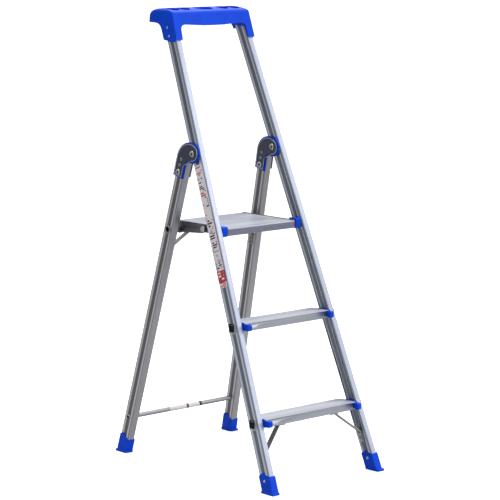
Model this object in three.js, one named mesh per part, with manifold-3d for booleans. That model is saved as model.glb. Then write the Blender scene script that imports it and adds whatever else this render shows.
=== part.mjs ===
// Folding platform step stool: two treads and a platform between leaning rails, a tool tray across the
// top, and a rear support frame that folds against the rails while the platform swings up between them.
// Millimetres, +Z up, -Y the side the user climbs, origin on the floor at the middle of the footprint.
import * as THREE from 'three';
import { mergeVertices } from 'three/addons/utils/BufferGeometryUtils.js';
import Module from 'manifold-3d';

const wasm = await Module();
wasm.setup();

// ---------------------------------------------------------------- driving dimensions
const deg = THREE.MathUtils.degToRad;
const GAP = 0.3; // between pieces that touch

const FIRST_TREAD_TOP = 173;
const RISE = 230;
const PLATFORM_TOP = FIRST_TREAD_TOP + 2 * RISE + 1.5;

const RAIL = { lean: deg(21.8), taper: deg(2.8), width: 19, depth: 36, top: 1158 };
const LEG = { lean: deg(14.6), taper: deg(3.2), width: 22, depth: 34 };
const WALL = 1.7; // of both box sections
const RIB = 0.8; // a rib stands this far above the section's edges
const GROOVE = 1.6; // and this far above the groove between the ribs

const HINGE_HEIGHT = 820;
const HINGE_HALF_SPACING = 136.3; // of the rails' and legs' middle planes at the hinge
const HINGE_FROM_RAIL_FRONT = 23.5; // square to the rail
const LEG_BEHIND_HINGE = 37.5; // middle of the leg, square to the leg
const LEG_TOP = 30; // below the hinge, along the leg

const TREAD = { depth: 79, nose: 20, skin: 2.6, lip: 9, tube: 20, tubeWall: 1.8, cap: 3, corner: 19 };
const TREAD_NOSE_BLOCK = { width: 13, height: 15 };

const PLATFORM = { front: 257, back: 467, side: 116.3, plate: 2.6, thickness: 20, deck: 3.5 };
const PLATFORM_PIN_HEIGHT = 622.5;
const LINK_PIVOT = { y: 350, z: 623 };
const LINK = { inner: 117.4, thickness: 4, height: 12, drop: 4.5 };

const UPPER_BAR = { down: 220, radius: 9, bore: 5, flange: 12 };
const LOWER_BAR = { down: 755, radius: 6, bore: 4, flange: 7.5 };

const CHEEK = { gap: 0.8, thickness: 3, lobe: 25.5, arc: 50, bottom: 76, back: 57.5, inner: 17 };
const PLATE = { cover: 1.5, backing: 2 }; // thickness on the cheek, and beyond the leg
const LEG_RIVET = { back: 39, down: 63.5 };

const TRAY = { top: 1186, rimTop: 1176, skirtWall: 3.2, shell: 3.5, pocketFloor: 1158 };

const FOOT = { wall: 1.5, sole: 6 };
const FRONT_SOLE = { front: -5.5, back: 42, halfWidth: 12.4, outset: 2.3 };
const REAR_SOLE = { front: 580.5, back: 628.5, halfWidth: 13, outset: 2 };

const facets = (radius) => (radius < 6 ? 10 : 16); // of a round piece

// ---------------------------------------------------------------- derived places
const railRun = Math.cos(RAIL.lean);
const railRise = Math.sin(RAIL.lean);
const alongRail = (height, fromFront = RAIL.depth / 2) => (height + fromFront * railRise) / railRun;
const railY = (height, fromFront) => (fromFront + height * railRise) / railRun;

const HINGE = new THREE.Vector3(0, railY(HINGE_HEIGHT, HINGE_FROM_RAIL_FRONT), HINGE_HEIGHT);
const HINGE_ALONG = alongRail(HINGE_HEIGHT, HINGE_FROM_RAIL_FRONT);
const PLATFORM_PIN = new THREE.Vector3(0, railY(PLATFORM_PIN_HEIGHT, RAIL.depth / 2), PLATFORM_PIN_HEIGHT);

// half distance between the rails' middle planes, and between their inner or outer faces, at a height
const railMiddle = (height) => HINGE_HALF_SPACING + Math.tan(RAIL.taper) * (HINGE_ALONG - alongRail(height));
const railInner = (height) => railMiddle(height) - RAIL.width / 2;
const railOuter = (height) => railMiddle(height) + RAIL.width / 2;

// a point of the rear frame, from its distance behind the hinge and down the leg
const rearPoint = (back, down) => new THREE.Vector3(
  0,
  HINGE.y + back * Math.cos(LEG.lean) + down * Math.sin(LEG.lean),
  HINGE.z + back * Math.sin(LEG.lean) - down * Math.cos(LEG.lean),
);
const legMiddle = (down) => HINGE_HALF_SPACING + Math.tan(LEG.taper) * down;
const legFloor = (HINGE.z + LEG_BEHIND_HINGE * Math.sin(LEG.lean)) / Math.cos(LEG.lean);

const frameAt = (x, y, z, lean = 0, taper = 0) => new THREE.Matrix4().compose(
  new THREE.Vector3(x, y, z),
  new THREE.Quaternion().setFromEuler(new THREE.Euler(lean, taper, 0)),
  new THREE.Vector3(1, 1, 1),
);
// along a rail: x across its width, y through its depth, z up it, from the hinge's level
const railFrame = (side) => {
  const y = railY(0, RAIL.depth / 2) + (HINGE_ALONG - alongRail(0)) * railRise;
  const z = (HINGE_ALONG - alongRail(0)) * railRun;
  return frameAt(side * HINGE_HALF_SPACING, y, z, -RAIL.lean, -side * RAIL.taper);
};
// along a leg: y square to it from the hinge, z up it
const legFrame = (side) => frameAt(side * HINGE_HALF_SPACING, HINGE.y, HINGE.z, LEG.lean, -side * LEG.taper);
const WORLD = new THREE.Matrix4();

// ---------------------------------------------------------------- solids
function toSolid(geometry) {
  const bare = new THREE.BufferGeometry();
  bare.setAttribute('position', geometry.getAttribute('position').clone());
  if (geometry.index) bare.setIndex(geometry.index.clone());
  const merged = mergeVertices(bare, 1e-4);
  const corners = merged.index.array;
  const kept = [];
  for (let i = 0; i < corners.length; i += 3) {
    const [a, b, c] = [corners[i], corners[i + 1], corners[i + 2]];
    if (a !== b && b !== c && c !== a) kept.push(a, b, c);
  }
  return new wasm.Manifold(new wasm.Mesh({
    numProp: 3,
    vertProperties: new Float32Array(merged.getAttribute('position').array),
    triVerts: new Uint32Array(kept),
  }));
}

function fromSolid(solid) {
  const mesh = solid.getMesh();
  const geometry = new THREE.BufferGeometry();
  geometry.setAttribute('position', new THREE.BufferAttribute(mesh.vertProperties, 3));
  geometry.setIndex(new THREE.BufferAttribute(mesh.triVerts, 1));
  geometry.computeVertexNormals();
  return geometry;
}

const join = (...parts) => fromSolid(parts.map(toSolid).reduce((sum, part) => sum.add(part)));
const common = (...parts) => fromSolid(parts.map(toSolid).reduce((rest, part) => rest.intersect(part)));

function cut(body, ...tools) {
  const rest = tools.map(toSolid).reduce((left, tool) => left.subtract(tool), toSolid(body));
  return fromSolid(rest);
}

// the other hand of a piece, mirrored across the middle plane
function mirrored(geometry) {
  const flipped = geometry.clone().scale(-1, 1, 1);
  const corners = flipped.index.array;
  for (let i = 0; i < corners.length; i += 3) {
    [corners[i], corners[i + 1]] = [corners[i + 1], corners[i]];
  }
  flipped.computeVertexNormals();
  return flipped;
}

const inFrame = (frame, geometry) => geometry.clone().applyMatrix4(frame.clone().invert());

// ---------------------------------------------------------------- basic shapes
function outline(points) {
  const shape = new THREE.Shape();
  points.forEach(([x, y], i) => (i ? shape.lineTo(x, y) : shape.moveTo(x, y)));
  shape.closePath();
  return shape;
}

function roundedRectangle(left, bottom, right, top, radius) {
  const shape = new THREE.Shape();
  shape.absarc(right - radius, bottom + radius, radius, -Math.PI / 2, 0);
  shape.absarc(right - radius, top - radius, radius, 0, Math.PI / 2);
  shape.absarc(left + radius, top - radius, radius, Math.PI / 2, Math.PI);
  shape.absarc(left + radius, bottom + radius, radius, Math.PI, 1.5 * Math.PI);
  shape.closePath();
  return shape;
}

const extrude = (shape, length, segments = 4, bevel = 0) => new THREE.ExtrudeGeometry(shape, {
  depth: length - 2 * bevel,
  curveSegments: segments,
  bevelEnabled: bevel > 0,
  bevelThickness: bevel,
  bevelSize: bevel,
  bevelOffset: -bevel,
  bevelSegments: 1,
}).translate(0, 0, bevel);

// a shape drawn in (y, z), extruded from x = from to x = to
function alongX(shape, from, to, segments = 4, bevel = 0) {
  const turn = new THREE.Matrix4().makeBasis(
    new THREE.Vector3(0, 1, 0),
    new THREE.Vector3(0, 0, 1),
    new THREE.Vector3(1, 0, 0),
  );
  return extrude(shape, to - from, segments, bevel).applyMatrix4(turn).translate(from, 0, 0);
}

// a shape drawn in (x, z), extruded from y = from to y = to
const alongY = (shape, from, to, segments = 4) => extrude(shape, to - from, segments)
  .rotateX(Math.PI / 2).translate(0, to, 0);

function box(x0, x1, y0, y1, z0, z1) {
  return new THREE.BoxGeometry(x1 - x0, y1 - y0, z1 - z0)
    .translate((x0 + x1) / 2, (y0 + y1) / 2, (z0 + z1) / 2);
}

const rod = (radius, from, to, y, z) => new THREE.CylinderGeometry(
  radius, radius, Math.abs(to - from), facets(radius),
).rotateZ(-Math.PI / 2).translate((from + to) / 2, y, z);

// a turned piece: (radius, x) pairs, turned about the X axis
function turned(points) {
  const segments = facets(Math.max(...points.map(([radius]) => radius)));
  const profile = points.map(([radius, x]) => new THREE.Vector2(radius, x));
  return new THREE.LatheGeometry(profile, segments).rotateZ(-Math.PI / 2);
}

// a solid rivet: domed head from x = 0 outward, shank inward
const rivet = (head, height, shank, length) => turned([
  [0, -length], [shank, -length], [shank, 0], [head, 0], [head, height * 0.35],
  [head * 0.72, height * 0.82], [0, height],
]);

// a tubular rivet: hollow shank from -near to far, a rolled flange at each end
const tubularRivet = (bore, shank, flange, near, far = near, thickness = 1.6) => turned([
  [shank, -near], [shank, far], [flange, far],
  [flange * 0.85, far + thickness], [bore, far + thickness * 0.6],
  [bore, -near - thickness * 0.6], [flange * 0.85, -near - thickness],
  [flange, -near], [shank, -near],
]);

// ---------------------------------------------------------------- materials
const finish = (color, roughness, metalness) => () => (
  new THREE.MeshStandardMaterial({ color, roughness, metalness })
);
const aluminium = finish(0xc3c8d4, 0.38, 0.9);
const darkAluminium = finish(0x96979c, 0.45, 0.9);
const bluePlastic = finish(0x1148d8, 0.42, 0);
const darkSteel = finish(0x3d4350, 0.5, 0.8);
const brightSteel = finish(0xb9bcc2, 0.3, 0.95);
const greySteel = finish(0x777873, 0.5, 0.8);
const labelFilm = finish(0xece6ee, 0.45, 0);

// ---------------------------------------------------------------- scene graph
const frontFrame = new THREE.Group();
const rearFrame = new THREE.Group();
const platform = new THREE.Group();
const links = new THREE.Group();

function add(group, name, geometry, material, frame = WORLD) {
  const mesh = new THREE.Mesh(geometry, material);
  mesh.name = name;
  mesh.applyMatrix4(frame);
  group.add(mesh);
}

const SIDES = [['left', -1], ['right', 1]];

// ---------------------------------------------------------------- box sections of rail and leg
// Both side faces carry two ribs with a groove between them, and step back beside the front and rear faces.
function ribbedSection({ width, depth }) {
  const half = width / 2;
  const ribOuter = depth / 2 - 3.8;
  const ribInner = 6;
  const corner = 1.6;
  const flank = [
    [half - RIB, -depth / 2 + corner], [half - RIB, -ribOuter], [half, -ribOuter + RIB],
    [half, -ribInner - RIB], [half - GROOVE, -ribInner + RIB], [half - GROOVE, ribInner - RIB],
    [half, ribInner + RIB], [half, ribOuter - RIB], [half - RIB, ribOuter], [half - RIB, depth / 2 - corner],
  ];
  const face = [half - RIB - corner, depth / 2];
  const shape = outline([
    ...flank, face, [-face[0], face[1]],
    ...flank.map(([x, y]) => [-x, -y]), [-face[0], -face[1]], [face[0], -face[1]],
  ]);
  const holeX = half - GROOVE - WALL;
  const holeY = depth / 2 - WALL;
  shape.holes.push(outline([[-holeX, -holeY], [-holeX, holeY], [holeX, holeY], [holeX, -holeY]]));
  return shape;
}

// ---------------------------------------------------------------- front frame
const treadTubeHeight = (top) => top - TREAD.tube / 2;

// the square hole that a tread's tube goes through
function treadSocket(top) {
  const y = railY(treadTubeHeight(top), RAIL.depth / 2);
  const z = treadTubeHeight(top);
  const half = TREAD.tube / 2 + GAP;
  return box(-300, 300, y - half, y + half, z - half, z + half);
}

function rail(side) {
  const frame = railFrame(side);
  const length = alongRail(RAIL.top);
  const section = extrude(ribbedSection(RAIL), length + 40).translate(0, 0, -HINGE_ALONG - 40);
  const cutters = [
    box(-400, 400, -200, 200, -200, 4),
    treadSocket(FIRST_TREAD_TOP),
    treadSocket(FIRST_TREAD_TOP + RISE),
    rod(5.5 + GAP, -300, 300, HINGE.y, HINGE.z),
    ...braceRivetPlaces(side).map(({ x, y, z }) => rod(2 + GAP, x - 6, x + 6, y, z)),
    footRivetHole(side),
  ];
  const geometry = cut(section, ...cutters.map((cutter) => inFrame(frame, cutter)));
  add(frontFrame, `${side < 0 ? 'left' : 'right'}_front_rail`, geometry, aluminium(), frame);
}

// A foot is a sock over the end of the section, peaked on its side faces, standing on a flared flat sole.
function foot(side, section, frame, middleX, sole, topEdge, holes = []) {
  const halfWidth = section.width / 2 + FOOT.wall;
  const halfDepth = section.depth / 2 + FOOT.wall;
  const [y0, floorAlong] = sole.local;
  const profile = outline([
    [y0 + halfDepth, floorAlong - 40], ...topEdge.map(([y, z]) => [y0 + y * halfDepth, floorAlong + z]),
    [y0 - halfDepth, floorAlong - 40],
  ]);
  const sock = alongX(profile, -halfWidth, halfWidth, 2, 1.2);
  const shoe = roundedRectangle(-sole.halfWidth, sole.front, sole.halfWidth, sole.back, 4);
  const plate = extrude(shoe, FOOT.sole, 2, 1.5).translate(side * (middleX + sole.outset), 0, 0);
  const socket = box(
    -section.width / 2 - GAP, section.width / 2 + GAP,
    y0 - section.depth / 2 - GAP, y0 + section.depth / 2 + GAP,
    floorAlong - 60, floorAlong + 200,
  );
  const floorSlab = box(-400, 400, -200, 900, -100, 0);
  const insole = box(-400, 400, -200, 900, -100, 3.7);
  const cavity = cut(socket, inFrame(frame, insole));
  const body = cut(join(sock, inFrame(frame, plate)), inFrame(frame, floorSlab), cavity);
  return holes.length ? cut(body, ...holes.map((hole) => inFrame(frame, hole))) : body;
}

const FOOT_RIVET_HEIGHT = 31;
const footRivetX = (side) => side * (railOuter(FOOT_RIVET_HEIGHT) + FOOT.wall + GAP);
const footRivetY = railY(FOOT_RIVET_HEIGHT, RAIL.depth / 2);

function footRivetHole(side) {
  return rod(2.2 + GAP, side * 100, side * 240, footRivetY, FOOT_RIVET_HEIGHT);
}

function frontFoot(side) {
  const frame = railFrame(side);
  const sole = { ...FRONT_SOLE, local: [0, alongRail(0) - HINGE_ALONG] };
  const topEdge = [[1, 49], [0.5, 53], [0, 53.5], [-0.5, 45], [-1, 39.5]];
  const body = foot(side, RAIL, frame, railMiddle(0), sole, topEdge, [footRivetHole(side)]);
  const name = side < 0 ? 'left' : 'right';
  add(frontFrame, `${name}_front_foot`, body, bluePlastic(), frame);
  const grip = RAIL.width / 2 + FOOT.wall + 0.7;
  const pin = tubularRivet(1, 2.2, 4, grip, grip, 1)
    .translate(side * railMiddle(FOOT_RIVET_HEIGHT), footRivetY, FOOT_RIVET_HEIGHT);
  add(frontFrame, `${name}_foot_rivet`, pin, brightSteel());
}

// ---------------------------------------------------------------- treads
// Profile in (y, z) from the nose and from the top face: a rounded nose lip, a flat top with a middle
// groove, a square tube below it, and a lip down at the back.
function treadSection(tubeFront) {
  const { depth, skin, lip, tube, tubeWall } = TREAD;
  const shape = new THREE.Shape();
  shape.moveTo(8, 0);
  shape.lineTo(tubeFront + tube + 3, 0);
  shape.lineTo(tubeFront + tube + 4, -0.9);
  shape.lineTo(tubeFront + tube + 5, 0);
  shape.lineTo(depth - 2, 0);
  shape.quadraticCurveTo(depth, 0, depth, -2);
  shape.lineTo(depth, -lip);
  shape.lineTo(depth - skin, -lip);
  shape.lineTo(depth - skin, -skin);
  shape.lineTo(tubeFront + tube, -skin);
  shape.lineTo(tubeFront + tube, -tube);
  shape.lineTo(tubeFront, -tube);
  shape.lineTo(tubeFront, -skin - 1);
  shape.lineTo(9, -skin - 1);
  shape.quadraticCurveTo(skin, -skin - 1, skin, -lip);
  shape.lineTo(0.4, -lip);
  shape.quadraticCurveTo(0, 0, 8, 0);
  const [near, far] = [tubeFront + tubeWall, tubeFront + tube - tubeWall];
  const [low, high] = [-tube + tubeWall, -tubeWall];
  shape.holes.push(outline([[near, low], [far, low], [far, high], [near, high]]));
  return shape;
}

function treadPlace(top) {
  const noseY = railY(top, 0) - TREAD.nose;
  const tubeFront = railY(treadTubeHeight(top), RAIL.depth / 2) - TREAD.tube / 2 - noseY;
  const face = railInner(top) - 0.05 - GAP; // the rail's inner face, where it is closest over the tread
  return { noseY, tubeFront, face: face - 0.9 };
}

// plan outline of a cap's outer edge, inset by a margin: straight along the rail, round at the back
function capPlan(face, margin, nose) {
  const { depth, corner } = TREAD;
  const shape = new THREE.Shape();
  const radius = corner - margin;
  shape.moveTo(face - corner + GAP, depth - margin);
  shape.absarc(face - corner, depth - corner, radius, Math.PI / 2, 0, true);
  shape.lineTo(face - margin, nose);
  shape.lineTo(face - corner + GAP, nose);
  shape.closePath();
  return shape;
}

// plan outline of the tread's own metal, rounded off inside the caps at the back
function treadPlan(face) {
  const { cap, corner, depth } = TREAD;
  const radius = corner - cap - GAP;
  const [x, y] = [face - corner, depth - corner];
  const shape = new THREE.Shape();
  shape.moveTo(x + radius, -5);
  shape.absarc(x, y, radius, 0, Math.PI / 2);
  shape.lineTo(x - GAP, depth + 5);
  shape.lineTo(-x + GAP, depth + 5);
  shape.absarc(-x, y, radius, Math.PI / 2, Math.PI);
  shape.lineTo(-x - radius, -5);
  shape.closePath();
  return shape;
}

function squareRing(half, hole) {
  const shape = outline([[-half, -half], [half, -half], [half, half], [-half, half]]);
  shape.holes.push(outline([[-hole, -hole], [-hole, hole], [hole, hole], [hole, -hole]]));
  return shape;
}

// the square tube that carries a tread, swaged outwards beyond both rails
function treadTube(top, tubeFront) {
  const { tube, tubeWall } = TREAD;
  const reach = railMiddle(treadTubeHeight(top)) + RAIL.width / 2 + 1.2;
  const bore = tube / 2 - tubeWall;
  const [y, z] = [tubeFront + tube / 2, -tube / 2];
  const core = alongX(squareRing(tube / 2, bore), -reach - 1, reach + 1).translate(0, y, z);
  const flare = (side) => alongX(squareRing(12.2, bore), -0.9, 0.9, 1, 0.5)
    .translate(side * (reach + 0.9), y, z);
  return [core, flare(-1), flare(1)];
}

function tread(name, top) {
  const { noseY, tubeFront, face } = treadPlace(top);
  const place = frameAt(0, noseY, top);
  const slab = alongX(treadSection(tubeFront), -face, face, 5);
  const plan = extrude(treadPlan(face), 60, 6).translate(0, 0, -40);
  const noseInset = TREAD_NOSE_BLOCK.width + GAP;
  const noseCuts = [
    box(-face, -face + noseInset, -5, 12.3, -30, 5),
    box(face - noseInset, face, -5, 12.3, -30, 5),
  ];
  const body = cut(common(slab, plan), ...noseCuts);
  add(frontFrame, name, join(body, ...treadTube(top, tubeFront)), aluminium(), place);
  for (const [sideName, side] of SIDES) {
    const cap = treadCap(side, face, tubeFront);
    add(frontFrame, `${name}_${sideName}_cap`, cap, bluePlastic(), place);
  }
}

function treadCap(side, face, tubeFront) {
  const { depth, cap, tube, corner } = TREAD;
  const rim = cut(
    extrude(capPlan(face, 0, 0), 14, 5).translate(0, 0, -12.5),
    extrude(capPlan(face, cap, -5), 40, 5).translate(0, 0, -30),
    box(0, face - corner + GAP, -10, depth + 10, -30, 10),
  );
  const low = -TREAD_NOSE_BLOCK.height;
  const upstand = outline([
    [8, low], [depth - corner, low], [depth - corner, 1.5], [52, 4.5], [20, 4.5], [12, 1.5], [8, 1.5],
  ]);
  const wall = alongX(upstand, face - cap, face);
  const block = roundedRectangle(-1.4, low, 12, 1.3, 4);
  const nose = alongX(block, face - TREAD_NOSE_BLOCK.width, face, 2, 1.2);
  const half = tube / 2 + GAP;
  const middle = tubeFront + tube / 2;
  const hole = box(face - 30, face + 5, middle - half, middle + half, -tube - GAP, GAP);
  const body = cut(join(rim, wall, nose), hole);
  return side > 0 ? body : mirrored(body);
}

// ---------------------------------------------------------------- braces
// a flat strip between two points, its width held across the frame
function strut(from, to, width, thickness) {
  const length = from.distanceTo(to);
  const along = to.clone().sub(from).normalize();
  const across = new THREE.Vector3(0, 1, 0).addScaledVector(along, -along.y).normalize();
  const through = new THREE.Vector3().crossVectors(along, across);
  const turn = new THREE.Matrix4().makeBasis(across, through, along);
  const middle = from.clone().add(to).multiplyScalar(0.5);
  return new THREE.BoxGeometry(width, thickness, length).applyMatrix4(turn.setPosition(middle));
}

const BRACE = { width: 14, thickness: 2.4, foot: 70, tab: 30 };

// middle of a brace's tab on the rail's inner face
const braceFoot = (side, height) => new THREE.Vector3(
  side * (railInner(height) - GAP - BRACE.thickness / 2),
  railY(height, RAIL.depth / 2),
  height,
);

function braceRivetPlaces(side) {
  return [BRACE.foot + 6, BRACE.foot + 20].map((height) => new THREE.Vector3(
    side * (railInner(height) - 2 * GAP - BRACE.thickness - 0.3),
    railY(height, RAIL.depth / 2),
    height,
  ));
}

function treadBrace(side, name) {
  const frame = railFrame(side);
  const underside = FIRST_TREAD_TOP - TREAD.tube - GAP;
  const tubeY = railY(treadTubeHeight(FIRST_TREAD_TOP), RAIL.depth / 2);
  const inner = -side * (RAIL.width / 2 + GAP + BRACE.thickness / 2);
  const low = alongRail(BRACE.foot) - HINGE_ALONG;
  const [width, half] = [BRACE.width / 2, BRACE.thickness / 2];
  const tab = box(inner - half, inner + half, -width, width, low, low + BRACE.tab).applyMatrix4(frame);
  const top = new THREE.Vector3(side * 92, tubeY, underside - half);
  const shelf = box(-13, 13, -width - 1, width + 1, -half, half).translate(top.x, top.y, top.z);
  const bend = braceFoot(side, BRACE.foot + BRACE.tab * railRun - 0.8);
  const armTop = new THREE.Vector3(top.x + side * 6, top.y, top.z - 0.4);
  const arm = strut(armTop, bend, BRACE.width, BRACE.thickness);
  const holes = braceRivetPlaces(side).map(({ x, y, z }) => rod(2 + GAP, x - 6, x + 6, y, z));
  const clearance = RAIL.width / 2 + GAP;
  const clear = [
    box(-300, 300, 0, 200, underside, underside + 40),
    box(-clearance, clearance, -30, 30, -HINGE_ALONG, 0).applyMatrix4(frame),
  ];
  add(frontFrame, `${name}_tread_brace`, cut(join(tab, shelf, arm), ...clear, ...holes), greySteel());
  braceRivetPlaces(side).forEach((place, i) => {
    const pin = rivet(4, 2, 2, 4 + GAP * 2);
    const faced = side < 0 ? pin : pin.rotateZ(Math.PI);
    faced.translate(place.x, place.y, place.z);
    add(frontFrame, `${name}_brace_rivet_${i + 1}`, faced, brightSteel());
  });
}

// ---------------------------------------------------------------- tool tray
// Side view: rounded back, crowned top, apron leaning with the rails, skirt down behind each rail.
function traySide() {
  const shape = new THREE.Shape();
  shape.moveTo(437, 1107);
  shape.lineTo(456, TRAY.rimTop - 6);
  shape.quadraticCurveTo(457.5, TRAY.rimTop, 463, TRAY.rimTop + 2);
  shape.quadraticCurveTo(490, TRAY.top, 513, TRAY.top);
  shape.quadraticCurveTo(536, TRAY.top - 1, 546, TRAY.rimTop);
  shape.quadraticCurveTo(551, TRAY.rimTop - 6, 551, 1166);
  shape.lineTo(552, 1149);
  shape.lineTo(524, 1148);
  shape.quadraticCurveTo(507, 1147, 501, 1132);
  shape.lineTo(491, 1108);
  shape.quadraticCurveTo(489, 1104, 485, 1104);
  shape.lineTo(476, 1104);
  shape.lineTo(473, 1101);
  shape.lineTo(447, 1101);
  shape.lineTo(443, 1105);
  shape.closePath();
  return shape;
}

// Front view, one half mirrored: skirts either side, and an apron whose lower edge bows down a little.
function trayFront() {
  const foot = railOuter(1100) + TRAY.skirtWall;
  const head = railOuter(TRAY.rimTop) + TRAY.skirtWall;
  const inner = railInner(1100) + 0.4;
  const fillet = railInner(1132) + 0.4;
  const shape = new THREE.Shape();
  shape.moveTo(-foot, 1090);
  shape.lineTo(-head, 1172);
  shape.quadraticCurveTo(-head + 0.5, TRAY.top, -head + 16, TRAY.top);
  shape.lineTo(head - 16, TRAY.top);
  shape.quadraticCurveTo(head - 0.5, TRAY.top, head, 1172);
  shape.lineTo(foot, 1090);
  shape.lineTo(inner, 1090);
  shape.lineTo(fillet, 1132);
  shape.quadraticCurveTo(fillet - 1, 1144, fillet - 15, 1144.5);
  shape.quadraticCurveTo(0, 1135.5, -fillet + 15, 1144.5);
  shape.quadraticCurveTo(-fillet + 1, 1144, -fillet, 1132);
  shape.lineTo(-inner, 1090);
  shape.closePath();
  return shape;
}

// the hollow inside the tray, open downward between the skirts
function trayHollow() {
  const shape = new THREE.Shape();
  shape.moveTo(452, 1120);
  shape.lineTo(461, TRAY.rimTop - 8);
  shape.quadraticCurveTo(490, TRAY.top - 4, 513, TRAY.top - TRAY.shell);
  shape.quadraticCurveTo(536, TRAY.top - 5, 546, TRAY.rimTop - 6);
  shape.lineTo(547.5, 1140);
  shape.lineTo(520, 1120);
  shape.closePath();
  return shape;
}

const POCKETS = [[-102, 19], [-65, 19], [-10, 19], [10, 19], [65, 19], [102, 19]];
const POCKET_Y = 492;

function tray() {
  const skin = common(
    alongX(traySide(), -140, 140, 3),
    alongY(trayFront(), 400, 600, 3),
  );
  const reach = railInner(1150) - 4;
  const hollow = alongX(trayHollow(), -reach, reach, 2);
  const column = (extra, from, to) => POCKETS.map(([x, radius]) => new THREE.CylinderGeometry(
    radius + extra, radius + extra - 1.5, to - from, 12,
  ).rotateX(Math.PI / 2).translate(x, POCKET_Y, (from + to) / 2));
  const cups = common(join(...column(2.5, TRAY.pocketFloor - 2.5, TRAY.top + 10)), skin);
  const rails = SIDES.map(([, side]) => box(
    -RAIL.width / 2 - GAP, RAIL.width / 2 + GAP, -RAIL.depth / 2 - GAP, RAIL.depth / 2 + GAP,
    -200, alongRail(RAIL.top) - HINGE_ALONG + GAP,
  ).applyMatrix4(railFrame(side)));
  const behindRails = SIDES.map(([, side]) => box(
    side < 0 ? -RAIL.width / 2 - GAP : -40, side < 0 ? 40 : RAIL.width / 2 + GAP,
    0, 60, -200, alongRail(1136) - HINGE_ALONG,
  ).applyMatrix4(railFrame(side)));
  const screws = SIDES.flatMap(([, side]) => screwPlaces(side)
    .map(({ x, y, z }) => rod(2 + GAP, x - 7, x + 7, y, z)));
  const pockets = column(0, TRAY.pocketFloor, TRAY.top + 10);
  const geometry = cut(join(cut(skin, hollow), cups), ...pockets, ...rails, ...behindRails, ...screws);
  add(frontFrame, 'tool_tray', geometry, bluePlastic());
  for (const [name, side] of SIDES) {
    screwPlaces(side).forEach((place, i) => {
      const screw = rivet(3.4, 1.8, 2, TRAY.skirtWall);
      const faced = side < 0 ? screw.rotateZ(Math.PI) : screw;
      faced.translate(place.x, place.y, place.z);
      add(frontFrame, `${name}_tray_screw_${i + 1}`, faced, brightSteel());
    });
  }
}

function screwPlaces(side) {
  return [1115.5, 1137].map((height) => new THREE.Vector3(
    side * (railOuter(height) + TRAY.skirtWall + 0.6 + GAP),
    railY(height, RAIL.depth / 2) + 1,
    height,
  ));
}

// ---------------------------------------------------------------- hinge on the rails, platform blocks
// The cheek and its cover plate are on the left of both legs, and a plain backing plate on the right.
const coverFace = LEG.width / 2 + CHEEK.gap + CHEEK.thickness + GAP + PLATE.cover;
const backingFace = LEG.width / 2 + CHEEK.gap + GAP + PLATE.backing;

function hingeRivet(side, name) {
  const pin = tubularRivet(3.5, 5.5, 8.5, coverFace + 1, backingFace + 1)
    .translate(side * HINGE_HALF_SPACING, HINGE.y, HINGE.z);
  add(frontFrame, `${name}_hinge_rivet`, pin, brightSteel());
}

function platformBlock(side, name) {
  const [near, far] = [PLATFORM.side + 0.5, railInner(PLATFORM_TOP + 8) - GAP - 0.6];
  const [y, z] = [PLATFORM_PIN.y, PLATFORM_PIN.z];
  const shape = roundedRectangle(PLATFORM.front - 3, z - 9.5, y + 16, PLATFORM_TOP + 5, 5);
  const from = side < 0 ? -far : near;
  const body = alongX(shape, from, from + far - near, 2, 1.2);
  const pinFrom = PLATFORM.side - PLATFORM.plate - GAP;
  const pin = turned([
    [0, pinFrom - 2.5], [5.5, pinFrom - 2.5], [5.5, pinFrom],
    [4, pinFrom], [4, far - 1], [0, far - 1],
  ]);
  const bore = rod(4 + GAP, -far + 1 - GAP, far - 1 + GAP, y, z);
  add(frontFrame, `${name}_platform_block`, cut(body, bore), bluePlastic());
  const faced = side > 0 ? pin : pin.rotateZ(Math.PI);
  add(frontFrame, `${name}_platform_pin`, faced.translate(0, y, z), brightSteel());
}

function railLabel() {
  const [low, high] = [alongRail(491) - HINGE_ALONG, alongRail(792) - HINGE_ALONG];
  const face = -RAIL.width / 2 - GAP;
  const film = box(face - 0.4, face, -15, 14, low, high);
  add(frontFrame, 'rail_label', film, labelFilm(), railFrame(-1));
}

// ---------------------------------------------------------------- rear frame
const barPlace = (bar) => rearPoint(LEG_BEHIND_HINGE, bar.down);

function leg(side, name) {
  const frame = legFrame(side);
  const section = extrude(ribbedSection(LEG), legFloor + 40 - LEG_TOP)
    .translate(0, LEG_BEHIND_HINGE, -legFloor - 40);
  const bars = [UPPER_BAR, LOWER_BAR].map((bar) => {
    const { y, z } = barPlace(bar);
    return rod(bar.radius + GAP, -300, 300, y, z);
  });
  const holes = rearBraceHoles(side);
  const ground = box(-400, 400, 300, 900, -200, 4);
  const cutters = [ground, ...bars, ...holes].map((item) => inFrame(frame, item));
  const bore = rod(5.5 + GAP, -20, 20, LEG_RIVET.back, -LEG_RIVET.down);
  add(rearFrame, `${name}_rear_leg`, cut(section, ...cutters, bore), darkAluminium(), frame);
}

function rearFoot(side, name) {
  const frame = legFrame(side);
  const sole = { ...REAR_SOLE, local: [LEG_BEHIND_HINGE, -legFloor] };
  const topEdge = [[1, 44], [0.5, 52], [0.1, 50], [-1, 39.5]];
  const body = foot(side, LEG, frame, legMiddle(legFloor), sole, topEdge);
  add(rearFrame, `${name}_rear_foot`, body, bluePlastic(), frame);
}

// a tube right across the rear frame, rolled over outside both legs
function rearBar(name, bar) {
  const { y, z } = barPlace(bar);
  const grip = legMiddle(bar.down) + LEG.width / 2 + 0.06 * bar.flange + GAP;
  const tube = tubularRivet(bar.radius - 1.6, bar.radius, bar.flange, grip, grip, 1.8).translate(0, y, z);
  add(rearFrame, name, tube, aluminium());
}

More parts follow.
